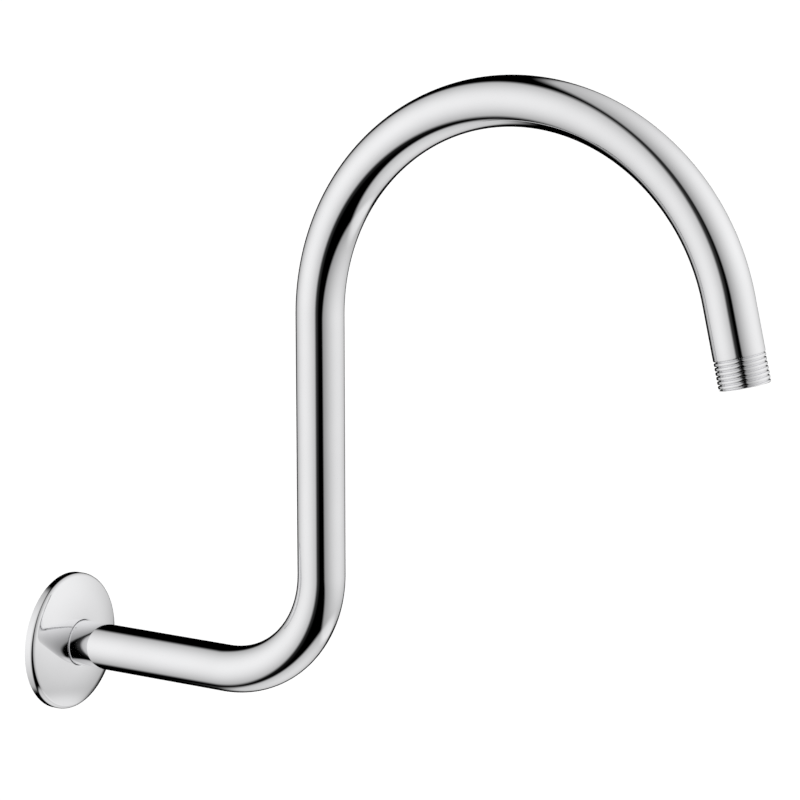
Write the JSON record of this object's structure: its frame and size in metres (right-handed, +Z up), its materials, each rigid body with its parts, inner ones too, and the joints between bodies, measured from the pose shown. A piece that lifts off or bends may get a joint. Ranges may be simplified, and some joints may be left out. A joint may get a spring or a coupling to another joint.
{
  "type": "shower arm",
  "caption": "Wall-mounted gooseneck shower arm: a bent round tube with a male pipe thread at each end and a domed round flange against the wall.",
  "frame": {"origin": "on the axis of the inlet, in the plane of the wall, at the flange's back face", "axes": "+X out of the wall into the room, +Z up; the tube is bent in the XZ plane"},
  "size_m": [0.3617, 0.064, 0.3036],
  "materials": {
    "polished_chrome": "polished",
    "black_rubber": "matte"
  },
  "bodies": {
    "root": {"arm_tube": "polished_chrome", "wall_flange": "polished_chrome", "flange_ring": "black_rubber"}
  },
  "joints": []
}
